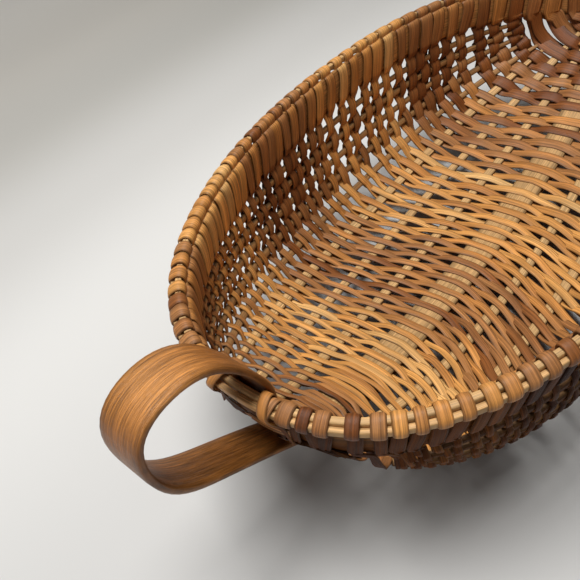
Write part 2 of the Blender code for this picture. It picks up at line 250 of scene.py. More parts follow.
class HalfLine:
    """A line across half the bowl, keel to band, whose t may change on the way."""

    def __init__(self, keel_t, band_t):
        even = np.full(len(S_GRID), keel_t)
        run = running_length(rows_at(GRID, even))
        turn = run / run[-1]
        t = keel_t + (band_t - keel_t) * smooth(turn)
        # Away from the ends the line sweeps over the floor and then climbs the wall upright.
        upright = smooth((min(band_t, 1 - band_t) - UPRIGHT_FROM) / UPRIGHT_OVER)
        if upright > 0:
            ends = [np.interp(place, T_GRID, GRID[:, column, 0])
                    for place, column in ((keel_t, 0), (band_t, -1))]
            x = ends[0] + (ends[1] - ends[0]) * smooth(turn / FLOOR_TURN)
            level = np.array([np.interp(x[j], GRID[:, j, 0], T_GRID) for j in range(len(S_GRID))])
            t = t + (level - t) * upright
        self.points = rows_at(GRID, t)
        self.normals = unit(rows_at(NORMAL, t))
        self.along = unit(rows_at(ALONG, t))
        self.run = running_length(self.points)
        x = self.points[:, 0]
        self.drop = rim_level(x) - self.points[:, 2]
        hang = np.clip(BAND_BOTTOM / np.maximum(bowl_depth(x), 1e-6), 0, DEEPEST_BAND_SHARE)
        rows = [S_GRID - s for s in FLOOR_RIBS]
        rows += [hang + (1 - hang) * share - SHARE_GRID for share in WALL_RIBS]
        self.rib = np.array([np.interp(0.0, row, self.run) for row in rows])
        room = np.diff(np.concatenate([[0.0], self.rib]))
        after = np.concatenate([room[1:], room[-1:]])
        widest = np.where(np.arange(RIB_COUNT) < len(FLOOR_RIBS), FLOOR_RIB_WIDTH, WALL_RIB_WIDTH)
        self.width = np.minimum(widest, RIB_SHARE * np.minimum(room, after))
        rib_drop = np.interp(self.rib, self.run, self.drop)
        self.shown = (self.width > RIB_THINNEST) & (rib_drop > BAND_BOTTOM + self.width / 2)
        self.woven = (self.width > WOVEN_RIB_WIDTH) & (rib_drop > BAND_BOTTOM + WOVEN_BELOW_BAND)
        spare = 2 * (self.rib[0] - self.width[0] / 2 - CENTRE_RIB_ROOM)
        self.centre_width = min(CENTRE_RIB_WIDTH, max(spare, CENTRE_RIB_THINNEST))
        order = np.argsort(self.drop)
        self.end = np.interp(BAND_BOTTOM + LINE_PAST_BAND, self.drop[order], self.run[order])

    def read(self, table, run):
        """Values of a table of this line, such as its points, at lengths along it."""
        return np.stack([np.interp(run, self.run, table[:, k]) for k in range(3)], -1)


# ---- rim line
UP = np.array([0.0, 0.0, 1.0])
FRAME_REACH = 2.0


def rim_outline():
    """The rim from above, from the left end along the near side and back."""
    angle = np.linspace(0, 2 * np.pi, 5761)
    x = -HALF_LENGTH * np.cos(angle)
    y = -half_width(x) * np.sign(np.sin(angle))
    y[np.abs(np.sin(angle)) < 1e-9] = 0.0
    return np.stack([x, y], -1)


OUTLINE = rim_outline()
OUTLINE_RUN = running_length(OUTLINE)
RIM_LENGTH = OUTLINE_RUN[-1]


def rim_frames(r):
    """Centre points, inward directions and forward directions; r runs 0 to 2 round the rim."""
    run = (np.asarray(r, float) % 2.0) / 2.0 * RIM_LENGTH

    def place(shift):
        at = (run + shift) % RIM_LENGTH
        return np.stack([np.interp(at, OUTLINE_RUN, OUTLINE[:, k]) for k in (0, 1)], -1)

    here = place(0.0)
    forward = unit(place(FRAME_REACH) - place(-FRAME_REACH))
    inward = np.stack([-forward[:, 1], forward[:, 0]], -1)
    flip = np.sign(-(inward * here).sum(-1))[:, None]
    inward = inward * flip
    zero = np.zeros(len(run))
    points = np.column_stack([here, rim_level(here[:, 0])])
    return points, np.column_stack([inward, zero]), np.column_stack([forward, zero])


def rounded(points, count):
    """A smooth curve through control points, resampled to evenly spaced places."""
    points = np.array(points, float)
    ends = np.concatenate([[2 * points[0] - points[1]], points, [2 * points[-1] - points[-2]]])
    u = np.linspace(0, len(points) - 1 - 1e-9, 12 * len(points))
    i = u.astype(int)
    f = (u - i)[:, None]
    a, b, c, d = ends[i], ends[i + 1], ends[i + 2], ends[i + 3]
    curve = 0.5 * (2 * b + (c - a) * f + (2 * a - 5 * b + 4 * c - d) * f ** 2
                   + (3 * b - a - 3 * c + d) * f ** 3)
    run = running_length(curve)
    even = np.linspace(0, run[-1], count)
    return np.stack([np.interp(even, run, curve[:, k]) for k in range(curve.shape[1])], -1)


# Centre line of the cane round the rods, as (inset, height) from the bowl's outline: up the
# inside of the band, out under the rods, over them, and down between rods and band to its outside.
WRAP_STRIP = 20.0
WRAP_TOP = -7.5
WRAP = rounded(((1.95, -27.5), (2.3, -22.0), (2.75, -16.0), (2.8, -9.5), (2.3, -4.6), (0.9, -2.0),
                (-2.4, -2.6), (-7.0, -3.7), (-8.5, -2.4), (-8.6, -0.4), (-7.7, 1.3), (-5.9, 2.5),
                (-4.0, 3.6), (-2.0, 3.8), (-0.5, 3.0), (0.2, 1.2), (-0.1, -1.6), (-0.9, -4.4),
                (-2.2, -7.4), (-2.8, -11.5), (-3.0, -16.0), (-2.5, -22.0), (-1.95, -27.5)), 56)
# Where the cane is out of sight: under the rods, and between the rods and the band.
UNDER_RODS_INSET = -1.5
BEHIND_RODS_LEVEL = -1.0
INSIDE_POINTS = int(np.argmax(WRAP[:, 0] < UNDER_RODS_INSET)) + 1
OUTSIDE_POINTS = int(np.argmax(WRAP[::-1, 1] > BEHIND_RODS_LEVEL)) + 1


def strip_path(band_sign):
    """One side of the band, from its lower edge up to where the cane goes out of sight."""
    return WRAP[:INSIDE_POINTS] if band_sign > 0 else WRAP[::-1][:OUTSIDE_POINTS]


def wrap_path(band_sign):
    """The strip and on over the rods, and how far each point has gone to the next pass (0 to 1)."""
    whole = WRAP if band_sign > 0 else WRAP[::-1]
    hidden = OUTSIDE_POINTS if band_sign > 0 else INSIDE_POINTS
    path = whole[:len(whole) - hidden + 2]
    run = running_length(path)
    start = run[np.argmax(path[:, 1] > WRAP_TOP)]
    return path, np.clip((run - start) / (run[-1] - start), 0, 1)


def hanging(path):
    """How far down the band each point of a wrap is, 0 at the rods to 1 at the lower edge."""
    down = np.clip((WRAP_TOP - path[:, 1]) / WRAP_STRIP, 0, 1)
    return smooth(down) * 0.5 + down * 0.5


# ---- mesh building
# Sections as (share of the width, share of the thickness), with the rounded side up.
CANE_SECTION = ((-0.50, -0.20), (-0.485, 0.08), (-0.41, 0.32), (-0.22, 0.46), (0.0, 0.50), (0.22, 0.46),
                (0.41, 0.32), (0.485, 0.08), (0.50, -0.20), (0.38, -0.44), (0.0, -0.50), (-0.38, -0.44))
RIB_SECTION = ((-0.50, -0.20), (-0.50, 0.18), (-0.42, 0.38), (-0.20, 0.49), (0.20, 0.49), (0.42, 0.38),
               (0.50, 0.18), (0.50, -0.20), (0.34, -0.46), (-0.34, -0.46))
STRAP_SECTION = ((-0.500, -0.10), (-0.494, 0.20), (-0.470, 0.42), (-0.36, 0.50), (-0.12, 0.50),
                 (0.12, 0.50), (0.36, 0.50), (0.470, 0.42), (0.494, 0.20), (0.500, -0.10),
                 (0.494, -0.28), (0.470, -0.44), (0.36, -0.50), (0.0, -0.52), (-0.36, -0.50),
                 (-0.470, -0.44), (-0.494, -0.28))


# A vertex is on the outer side if it faces away from a point at rim height, whose x and y are these shares
# of its own. The materials paint shade on the outer side.
MIDDLE_SHARE = (0.6, 0.3)
OUTER_BIAS = 0.1
OUTER_GAIN = 1.6
OUTER_BELOW_RIM = 4.0


def outer_share(data, points):
    """How far each vertex looks away from the inside of the bowl, below the rim: 0 to 1."""
    facing = np.zeros(len(points) * 3, np.float32)
    data.vertex_normals.foreach_get("vector", facing)
    facing = facing.reshape(-1, 3)
    middle = np.column_stack([points[:, :2] * MIDDLE_SHARE, np.full(len(points), RIM_HEIGHT)])
    outward = unit(points - middle)
    drop = rim_level(points[:, 0]) - OUTER_BELOW_RIM - points[:, 2]
    below = np.clip(drop / OUTER_BELOW_RIM, 0, 1)
    return np.clip(OUTER_BIAS + OUTER_GAIN * (facing * outward).sum(-1), 0, 1) * below


class Strands:
    """Collects lofted strands, with their grain coordinates and tones, for one mesh."""

    def __init__(self):
        self.points = []
        self.faces = []
        self.grain = []
        self.tone = []
        self.edge = []
        self.count = 0

    def add(self, centres, across, normals, widths, thicknesses, section, tone, closed=False):
        """Loft the section along the centres; a closed strand joins its own start."""
        section = np.array(section)
        rings = (centres[:, None, :]
                 + across[:, None, :] * (section[None, :, 0] * widths[:, None])[:, :, None]
                 + normals[:, None, :] * (section[None, :, 1] * thicknesses[:, None])[:, :, None])
        n, m = rings.shape[:2]
        along = running_length(centres)
        seed = rng.uniform(0, 900)
        grain = np.zeros((n, m, 3))
        grain[:, :, 0] = along[:, None]
        grain[:, :, 1] = section[None, :, 0] * widths[:, None]
        grain[:, :, 2] = seed
        i, j = np.meshgrid(np.arange(n if closed else n - 1), np.arange(m), indexing="ij")
        k = (j + 1) % m
        i2 = (i + 1) % n
        quads = np.stack([i * m + j, i * m + k, i2 * m + k, i2 * m + j], -1).reshape(-1, 4) + self.count
        self.faces += quads.tolist()
        if not closed:
            first = self.count + np.arange(m)
            self.faces.append(first[::-1].tolist())
            self.faces.append((first + (n - 1) * m).tolist())
        self.points.append(rings.reshape(-1, 3))
        self.grain.append(grain.reshape(-1, 3))
        self.tone.append(np.broadcast_to(np.asarray(tone, float).reshape(-1, 1), (n, m)).reshape(-1))
        # Share out from the strand's middle, which the materials use for painted shade towards its edges.
        self.edge.append(np.broadcast_to(np.abs(section[None, :, 0]) * 2, (n, m)).reshape(-1))
        self.count += n * m

    def make(self, name, material, slot, replaced):
        """One mesh object of all the strands, in place of the replaced CAD nodes."""
        points = np.concatenate(self.points) * MM
        data = bpy.data.meshes.new(name)
        data.from_pydata(points.tolist(), [], self.faces)
        grain = data.attributes.new("grain", "FLOAT_VECTOR", "POINT")
        grain.data.foreach_set("vector", np.concatenate(self.grain).astype(np.float32).reshape(-1))
        data.polygons.foreach_set("use_smooth", [True] * len(data.polygons))
        data.validate()
        data.update()
        # Outer faces below the rim: the materials paint shade on them and make them more matt.
        painted_shade_and_matt = outer_share(data, points / MM)
        for label, values in (("tone", self.tone), ("edge", self.edge), ("outer", [painted_shade_and_matt])):
            layer = data.attributes.new(label, "FLOAT", "POINT")
            layer.data.foreach_set("value", np.concatenate(values).astype(np.float32))
        piece = bpy.data.objects.new(name, data)
        bpy.context.scene.collection.objects.link(piece)
        data.materials.append(material)
        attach(piece, "root")
        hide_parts(*replaced)
        return piece


WANDER_SAMPLES = 60


def wander(length, step, size):
    """A smooth random function of the length along, with a new value about every step."""
    knots = rng.normal(0, size, max(int(length / step) + 3, 4))
    fine = np.linspace(0, len(knots) - 1.001, WANDER_SAMPLES)
    low = fine.astype(int)
    part = smooth(fine - low)
    values = knots[low] * (1 - part) + knots[low + 1] * part
    return lambda run: np.interp(run, np.linspace(0, length, WANDER_SAMPLES), values)


# ---- materials
def shader_nodes(name):
    """A new material with its nodes, its links and its Principled shader."""
    made = bpy.data.materials.new(name)
    made.use_nodes = True
    nodes = made.node_tree.nodes
    return made, nodes, made.node_tree.links, nodes["Principled BSDF"]


def grain_noise(nodes, links, scale, detail=4.0, roughness=0.6):
    """Noise drawn out along the strand: scale is (along, across) in waves per millimetre."""
    attribute = nodes.new("ShaderNodeAttribute")
    attribute.attribute_name = "grain"
    mapping = nodes.new("ShaderNodeMapping")
    mapping.inputs["Scale"].default_value = (scale[0], scale[1], 1.0)
    noise = nodes.new("ShaderNodeTexNoise")
    noise.inputs["Scale"].default_value = 1.0
    noise.inputs["Detail"].default_value = detail
    noise.inputs["Roughness"].default_value = roughness
    links.new(attribute.outputs["Vector"], mapping.inputs["Vector"])
    links.new(mapping.outputs["Vector"], noise.inputs["Vector"])
    return noise.outputs["Fac"]


def attribute_share(nodes, name):
    """A value from 0 to 1 stored on the mesh."""
    attribute = nodes.new("ShaderNodeAttribute")
    attribute.attribute_name = name
    return attribute.outputs["Fac"]


def ramp(nodes, links, source, stops, interpolation="LINEAR"):
    node = nodes.new("ShaderNodeValToRGB")
    node.color_ramp.interpolation = interpolation
    elements = node.color_ramp.elements
    while len(elements) < len(stops):
        elements.new(0.5)
    for element, (place, colour) in zip(elements, stops):
        element.position = place
        element.color = (*colour, 1.0)
    links.new(source, node.inputs["Fac"])
    return node.outputs["Color"]


def colour_multiply(nodes):
    """A mix node that multiplies its colours, with its factor, first, second and result sockets."""
    node = nodes.new("ShaderNodeMix")
    node.data_type = "RGBA"
    node.blend_type = "MULTIPLY"
    return node.inputs[0], node.inputs[6], node.inputs[7], node.outputs[2]


def calculate(nodes, links, operation, first, second):
    node = nodes.new("ShaderNodeMath")
    node.operation = operation
    links.new(first, node.inputs[0])
    links.new(second, node.inputs[1])
    return node.outputs[0]


def span(nodes, links, source, low, high, to_low, to_high):
    """A value between low and high moved to between to_low and to_high, and kept there."""
    node = nodes.new("ShaderNodeMapRange")
    node.inputs["From Min"].default_value = low
    node.inputs["From Max"].default_value = high
    node.inputs["To Min"].default_value = to_low
    node.inputs["To Max"].default_value = to_high
    links.new(source, node.inputs["Value"])
    return node.outputs["Result"]


def fibre_material(name, tones, fibre=(0.035, 2.2), streak=(0.010, 1.0), depth=0.20,
                   gloss=(0.36, 0.62), contrast=0.75, edge_painted_shade=0.50):
    """Split cane or wood: a tone for each strand, fibres along it, painted shade on the outer side and
    towards each strand's edges.
    """
    made, nodes, links, shader = shader_nodes(name)
    outer = attribute_share(nodes, "outer")
    base = ramp(nodes, links, attribute_share(nodes, "tone"), tones)
    streaks = grain_noise(nodes, links, streak, detail=5.0, roughness=0.65)
    fibres = grain_noise(nodes, links, fibre, detail=6.0, roughness=0.7)
    broad = grain_noise(nodes, links, (0.02, 0.12), detail=3.0)
    patches = span(nodes, links, broad, 0.3, 0.7, 0.80, 1.18)
    dark = span(nodes, links, streaks, 0.35, 0.70, 1.0 - contrast * 0.50, 1.0 + contrast * 0.34)
    fine = span(nodes, links, fibres, 0.30, 0.72, 1.0 - contrast * 0.55, 1.0 + contrast * 0.36)
    shade = calculate(nodes, links, "MULTIPLY", dark, fine)
    shade = calculate(nodes, links, "MULTIPLY", shade, patches)
    # Painted shade towards each strand's edges, where strands meet.
    edges = span(nodes, links, attribute_share(nodes, "edge"), EDGE_FROM, 1.0, 1.0, 1.0 - edge_painted_shade)
    shade = calculate(nodes, links, "MULTIPLY", shade, edges)
    # Painted shade: the outer side's colour is multiplied by a dark tint.
    factor, first, second, outer_shaded = colour_multiply(nodes)
    links.new(outer, factor)
    links.new(base, first)
    second.default_value = (*OUTER_PAINTED_SHADE, 1.0)
    grey = nodes.new("ShaderNodeCombineColor")
    for socket in ("Red", "Green", "Blue"):
        links.new(shade, grey.inputs[socket])
    factor, first, second, colour = colour_multiply(nodes)
    factor.default_value = 1.0
    links.new(outer_shaded, first)
    links.new(grey.outputs["Color"], second)
    links.new(colour, shader.inputs["Base Color"])
    links.new(span(nodes, links, fibres, 0.3, 0.7, gloss[0], gloss[1]), shader.inputs["Roughness"])
    bump = nodes.new("ShaderNodeBump")
    bump.inputs["Distance"].default_value = depth * MM
    bump.inputs["Strength"].default_value = 1.0
    links.new(calculate(nodes, links, "ADD", fibres, streaks), bump.inputs["Height"])
    links.new(bump.outputs["Normal"], shader.inputs["Normal"])
    specular = span(nodes, links, outer, 0.0, 1.0, INNER_SPECULAR, OUTER_SPECULAR)
    links.new(specular, shader.inputs["Specular IOR Level"])
    return made


# The outer side below the rim gets painted shade and is more matt, and every strand gets painted shade
# towards its edges, where strands meet.
OUTER_PAINTED_SHADE = (0.26, 0.170, 0.080)
INNER_SPECULAR = 0.42
OUTER_SPECULAR = 0.10
EDGE_FROM = 0.62
# Colours as (tone, colour), from the darkest strands to the palest.
CANE_TONES = ((0.0, (0.170, 0.045, 0.008)), (0.22, (0.330, 0.110, 0.025)), (0.40, (0.520, 0.230, 0.078)),
              (0.55, (0.690, 0.290, 0.072)), (0.75, (0.920, 0.440, 0.120)), (1.0, (0.980, 0.580, 0.220)))
WOOD_TONES = ((0.0, (0.36, 0.17, 0.06)), (0.5, (0.60, 0.33, 0.125)), (1.0, (0.82, 0.52, 0.23)))
BAND_TONES = ((0.0, (0.36, 0.14, 0.04)), (0.5, (0.68, 0.33, 0.105)), (1.0, (0.86, 0.50, 0.20)))
STRAP_TONES = ((0.0, (0.30, 0.095, 0.018)), (0.5, (0.62, 0.255, 0.062)), (1.0, (0.86, 0.44, 0.14)))

CANE = fibre_material("split_cane", CANE_TONES, contrast=0.95, depth=0.26)
RIB_WOOD = fibre_material("rib_wood", WOOD_TONES, fibre=(0.03, 1.6), gloss=(0.45, 0.7))
ROD_WOOD = fibre_material("rod_wood", WOOD_TONES, fibre=(0.03, 1.4), gloss=(0.42, 0.62), edge_painted_shade=0.0)
BAND_WOOD = fibre_material("band_wood", BAND_TONES, fibre=(0.02, 1.2), gloss=(0.5, 0.75), edge_painted_shade=0.2)
STRAP_CANE = fibre_material("strap_cane", STRAP_TONES, fibre=(0.10, 3.6), streak=(0.05, 1.2),
                            gloss=(0.28, 0.46), contrast=0.95, depth=0.25, edge_painted_shade=0.30)


# ---- rim pieces
ROD_STATIONS = 620
BAND_STATIONS = 420
OUTER_ROD_TONE = 0.66
INNER_ROD_TONE = 0.82
BAND_TONE = 0.42
CENTRE_RIB_TONE = 0.72
FLOOR_RIB_TONE = 0.82
WALL_RIB_TONE = 0.28


def squared(share):
    """A sine or cosine pushed outwards, which makes a circle squarer, half a unit in size."""
    return 0.5 * math.copysign(abs(share) ** ROD_SQUARENESS, share)


def rod(name, inset, lift, width, height, tone, replaced):
    """One rim rod: a shaved, slightly uneven bar bent round the rim."""
    r = np.linspace(0, 2, ROD_STATIONS, endpoint=False)
    points, inward, _ = rim_frames(r)
    angle = r * np.pi
    sway = 0.12 * np.sin(9 * angle + inset) + 0.08 * np.sin(23 * angle + 2 * inset)
    rise = lift + 0.12 * np.cos(7 * angle + inset)
    points = points + inward * (inset + sway)[:, None] + UP * rise[:, None]
    turns = np.linspace(0, 2 * np.pi, ROD_SIDES, endpoint=False) + 0.2
    section = [(squared(math.cos(turn)), squared(math.sin(turn))) for turn in turns]
    size = 1 + 0.03 * np.sin(17 * angle) + 0.02 * np.sin(41 * angle)
    strands = Strands()
    strands.add(points, inward, np.broadcast_to(UP, points.shape), width * size, height * size,
                section, tone, closed=True)
    return strands.make(name, ROD_WOOD, "rim_wood", [replaced])


def rim_band():
    """The wide flat hoop below the rods."""
    r = np.linspace(0, 2, BAND_STATIONS, endpoint=False)
    points, inward, _ = rim_frames(r)
    angle = r * np.pi
    middle = (BAND_SHOWN_TOP + BAND_BOTTOM) / 2
    height = BAND_BOTTOM - BAND_SHOWN_TOP
    points = points - UP * middle + inward * (0.12 * np.sin(11 * angle))[:, None]
    heights = height * (1 + 0.02 * np.sin(13 * angle))
    strands = Strands()
    strands.add(points, np.broadcast_to(UP, points.shape), inward, heights,
                np.full(len(r), BAND_THICKNESS), RIB_SECTION, BAND_TONE, closed=True)
    return strands.make("split_hoop", BAND_WOOD, "band_wood", ["rim_band"])


# ---- ribs
RIB_T = np.linspace(0.03, 0.97, 260)
RIB_LINES = [HalfLine(t, t) for t in RIB_T]


def stretch_of(values):
    """The longest run of true values, as a slice."""
    best = (0, 0)
    start = None
    for i, value in enumerate(list(values) + [False]):
        if value and start is None:
            start = i
        if not value and start is not None:
            best = max(best, (i - start, start))
            start = None
    return slice(best[1], best[1] + best[0])


def side_rib(index, side):
    """A narrow rib along the basket; side is -1 for the near half and 1 for the far half."""
    shown = np.array([line.shown[index] for line in RIB_LINES])
    lines = RIB_LINES[stretch_of(shown)]
    flip = np.array([1.0, side, 1.0])
    points = np.array([line.read(line.points, line.rib[index]) for line in lines]) * flip
    normals = unit(np.array([line.read(line.normals, line.rib[index]) for line in lines]) * flip)
    forward = unit(np.gradient(points, axis=0))
    across = unit(np.cross(forward, normals))
    widths = np.array([line.width[index] for line in lines])
    run = running_length(points)
    widths = widths * (1 + wander(run[-1], 30, 0.05)(run))
    zone = FLOOR_RIB_TONE if index < len(FLOOR_RIBS) else WALL_RIB_TONE
    tone = zone + rng.normal(0, 0.08) + wander(run[-1], 60, 0.06)(run)
    label = "near" if side < 0 else "far"
    strands = Strands()
    strands.add(points, across, normals, widths, np.full(len(lines), RIB_THICKNESS), RIB_SECTION, tone)
    name = "split_rib_%s_%d" % (label, index + 1)
    return strands.make(name, RIB_WOOD, "rib_wood", ["rib_%s_%d" % (label, index + 1)])


def centre_rib():
    """The wide flat rib along the keel, up to the band at both ends."""
    lines = [line for line in RIB_LINES if line.drop[0] > BAND_BOTTOM - CENTRE_RIB_TUCK]
    points = np.array([line.points[0] for line in lines])
    normals = np.array([line.normals[0] for line in lines])
    normals[:, 1] = 0.0
    normals = unit(normals)
    forward = unit(np.gradient(points, axis=0))
    across = unit(np.cross(forward, normals))
    widths = np.array([line.centre_width for line in lines])
    strands = Strands()
    strands.add(points, across, normals, widths, np.full(len(lines), RIB_THICKNESS), STRAP_SECTION,
                CENTRE_RIB_TONE)
    return strands.make("split_centre_rib", RIB_WOOD, "rib_wood", ["centre_rib"])


# ---- the weave
HALF_RIM = RIM_LENGTH / 2
NEAR_LEAN = 5.5
FAR_LEAN = 2.0
NEAR_LEAN_POWER = 1.5
FAR_LEAN_POWER = 0.5
# Unevenness: of each pass's place, of its lean on each rim, and of the wraps' places round the rim.
PASS_JITTER = rng.normal(0, 0.09, PASS_COUNT + 2)
LEAN_JITTER = rng.normal(0, 1.1, (PASS_COUNT + 2, 3))
RIM_SWAY = rng.normal(0, 1.3, (WRAP_COUNT + 1, 3))


def keel_t(share):
    """Where a pass crosses the keel."""
    places, values = np.array(KEEL_PLACES).T
    return float(np.interp(share, places, values))


def rim_t(share, side):
    """Where a pass would meet a rim if it weren't drawn towards its partner."""
    places, values = np.array(NEAR_RIM_PLACES if side < 0 else FAR_RIM_PLACES).T
    sway = np.interp(share * WRAP_COUNT, np.arange(WRAP_COUNT + 1), RIM_SWAY[:, side])
    return float(np.interp(share, places, values) + sway / HALF_RIM)


def pass_share(index):
    """A pass's own share of the way through all passes, a little uneven."""
    return (index + 0.5 + PASS_JITTER[index]) / PASS_COUNT


def paired_t(index, side):
    """A pass's place on a rim, drawn towards the pass it is joined to by a wrap there."""
    partner = index + (1 if (index % 2 == 0) == (side > 0) else -1)
    here = rim_t(pass_share(index), side)
    pairing = NEAR_PAIRING if side < 0 else FAR_PAIRING
    return here + pairing / 2 * (rim_t(pass_share(partner), side) - here)


def lift_line(crossings, run):
    """Height of the cane above the bowl's middle surface, level over each crossing."""
    places = []
    heights = []
    for at, width, height in crossings:
        places += [at - width * LEVEL_SHARE, at + width * LEVEL_SHARE]
        heights += [height, height]
    places = np.array(places)
    heights = np.array(heights)
    low = np.clip(np.searchsorted(places, run) - 1, 0, len(places) - 2)
    part = np.clip((run - places[low]) / np.maximum(places[low + 1] - places[low], 1e-6), 0, 1)
    part = 0.5 - 0.5 * np.cos(np.pi * part)
    return heights[low] * (1 - part) + heights[low + 1] * part


def half_pass(index, line, drift):
    """Stations of one pass from the keel to the lower edge of the band."""
    sign = 1.0 if index % 2 == 0 else -1.0
    lift = RIB_THICKNESS / 2 + CANE_THICKNESS / 2
    # Near the left end every pass goes over the centre rib; elsewhere they alternate.
    ridge = line.points[0, 0] < ALL_OVER_KEEL_TO
    keel_lift = lift + RIDGE_LIFT if ridge else sign * lift
    crossings = [(0.0, line.centre_width, keel_lift)]
    for i in range(RIB_COUNT):
        if line.woven[i]:
            sign_here = sign * (1.0 if i % 2 else -1.0)
            crossings.append((line.rib[i], line.width[i], sign_here * lift))
    band_sign = -sign
    crossings.append((line.end + BAND_CROSSING, BAND_CROSSING, band_sign * WRAP[0, 0]))
    count = max(int(line.end / STATION_STEP), FEWEST_STATIONS)
    run = np.linspace(0, line.end, count)
    height = lift_line(crossings, run)
    points = line.read(line.points, run)
    normals = unit(line.read(line.normals, run))
    along = unit(line.read(line.along, run))
    points = points + normals * height[:, None] + along * drift(run)[:, None]
    return points, along, band_sign


def rim_lean(share, side):
    """How far along the rim the strips lean on their way up the band, in millimetres."""
    if side < 0:
        return NEAR_LEAN * math.sin(math.pi * share) ** NEAR_LEAN_POWER
    return FAR_LEAN * math.sin(math.pi * share) ** FAR_LEAN_POWER


def one_pass(index):
    """A pass across the bowl and the wrap that leads into the next one."""
    share = pass_share(index)
    next_share = pass_share(index + 1)
    leans = {}
    for side in (-1, 1):
        leans[side] = (rim_lean(share, side) + LEAN_JITTER[index, side]) / HALF_RIM
    near = HalfLine(keel_t(share), paired_t(index, -1) - leans[-1])
    far = HalfLine(keel_t(share), paired_t(index, 1) - leans[1])
    near_drift = wander(near.end, DRIFT_STEP, DRIFT_SIZE)
    far_drift = wander(far.end, DRIFT_STEP, DRIFT_SIZE)
    shift = near_drift(np.zeros(1))[0] - far_drift(np.zeros(1))[0]

    def joined_drift(run):
        return far_drift(run) + shift * np.exp(-run / DRIFT_MEETS)

    near_points, near_along, band_sign = half_pass(index, near, near_drift)
    far_points, far_along, band_sign = half_pass(index, far, joined_drift)
    mirror = np.array([1.0, -1.0, 1.0])
    points = np.concatenate([(near_points * mirror)[:0:-1], far_points])
    along = np.concatenate([(near_along * mirror)[:0:-1], far_along])
    # Even passes run from the near rim to the far rim and odd passes come back.
    side = 1 if index % 2 == 0 else -1
    if side < 0:
        points = points[::-1]
        along = along[::-1]
    path, moved = wrap_path(band_sign)
    if side < 0 and index < FIRST_NEAR_WRAP:
        path = strip_path(band_sign)
        moved = np.zeros(len(path))
    next_lean = rim_lean(next_share, side) + LEAN_JITTER[index + 1, side]
    lean = leans[side] * (1 - moved) + moved * next_lean / HALF_RIM
    here = paired_t(index, side)
    t = here + (paired_t(index + 1, side) - here) * moved - lean * hanging(path)
    centre, inward, forward = rim_frames(2.0 - t if side > 0 else t)
    wrap = centre + inward * path[:, :1] + UP * path[:, 1:]
    wrap_along = forward * -side
    # The strip on the band at this pass's other end, where the wrap before came down.
    first = strip_path(band_sign)[::-1]
    start_t = paired_t(index, -side) - leans[-side] * hanging(first)
    centre, inward, forward = rim_frames(2.0 - start_t if side < 0 else start_t)
    head = centre + inward * first[:, :1] + UP * first[:, 1:]
    head_along = forward * side
    if index == 0:
        head = head[-1:]
        head_along = head_along[-1:]
    on_rim = np.concatenate([np.ones(len(head) - 1), np.zeros(len(points)), np.ones(len(wrap) - 1)])
    points = np.concatenate([head[:-1], points, wrap[1:]])
    along = np.concatenate([head_along[:-1], along, wrap_along[1:]])
    return points, along, near, on_rim


def pass_widths(points, on_rim):
    """Widths along a pass: its own on the floor, on each wall and over each rim, blended."""
    rise = np.clip((points[:, 2] - WALL_START) / (WALL_FULL - WALL_START), 0, 1)
    to_end = smooth((END_NARROWS[0] - points[:, 0]) / END_NARROWS[1])
    wall = WALL_CANE_WIDTH + (END_CANE_WIDTH - WALL_CANE_WIDTH) * to_end
    to_middle = smooth((points[:, 0] - NEAR_WIDENS[0]) / NEAR_WIDENS[1])
    near_wall = NEAR_END_CANE_WIDTH + (NEAR_WALL_CANE_WIDTH - NEAR_END_CANE_WIDTH) * to_middle
    wall = np.where(points[:, 1] < 0, near_wall, wall)
    wide = FLOOR_CANE_WIDTH + (wall - FLOOR_CANE_WIDTH) * smooth(rise)
    wrap_width = np.where(points[:, 1] < 0, NEAR_WRAP_WIDTH, FAR_WRAP_WIDTH)
    wide = np.where(on_rim > 0.5, wrap_width, wide)
    kernel = np.hanning(WIDTH_BLEND + 2)[1:-1]
    padded = np.pad(wide, WIDTH_BLEND // 2, mode="edge")
    return np.convolve(padded, kernel / kernel.sum(), mode="valid")


def frames_of(points, along):
    """Across and normal directions for a strand, square to its path."""
    tangent = unit(np.gradient(points, axis=0))
    across = unit(along - (along * tangent).sum(-1)[:, None] * tangent)
    return across, unit(np.cross(across, tangent))


# Colour of the cane along the basket: (keel position as a share of the half length, tone).
TONE_ZONES = ((-1.0, 0.46), (-0.80, 0.47), (-0.74, 0.76), (-0.46, 0.80), (-0.40, 0.44), (-0.08, 0.38),
              (0.02, 0.70), (0.34, 0.74), (0.40, 0.44), (0.60, 0.32), (0.80, 0.40), (1.0, 0.36))


def weave():
    """Every pass of the cane, gathered into courses by where it crosses the keel."""
    places, zone_tones = np.array(TONE_ZONES).T
    keel_first = KEEL_PLACES[0][1]
    keel_last = KEEL_PLACES[-1][1]
    groups = [Strands() for _ in range(COURSE_COUNT)]
    for index in range(PASS_COUNT):
        points, along, line, on_rim = one_pass(index)
        across, normals = frames_of(points, along)
        run = running_length(points)
        share = (index + 0.5) / PASS_COUNT
        wider = np.interp(share, *np.array(WIDER_PLACES).T)
        uneven = 1 + rng.normal(0, 0.07) + wander(run[-1], 30, 0.06)(run)
        widths = wider * pass_widths(points, on_rim) * uneven
        thick = CANE_THICKNESS * (1 + wander(run[-1], 25, 0.06)(run)) * (1 + RIM_THICKER * on_rim)
        zone = np.interp(line.points[0, 0] / HALF_LENGTH, places, zone_tones)
        tone = zone + rng.normal(0, 0.09) + wander(run[-1], 45, 0.06)(run)
        tone = tone - WALL_DARKER * smooth((points[:, 2] - WALL_START) / WALL_FULL) * (1 - on_rim)
        tone = tone - RIM_DARKER * on_rim * (points[:, 1] < 0)
        course = (keel_t(share) - keel_first) / (keel_last - keel_first)
        group = groups[int(course * COURSE_COUNT)]
        group.add(points, across, normals, widths, thick, CANE_SECTION, tone)
    for number, group in enumerate(groups, 1):
        group.make("cane_course_%02d" % number, CANE, "cane", ["weaver_%02d" % number])


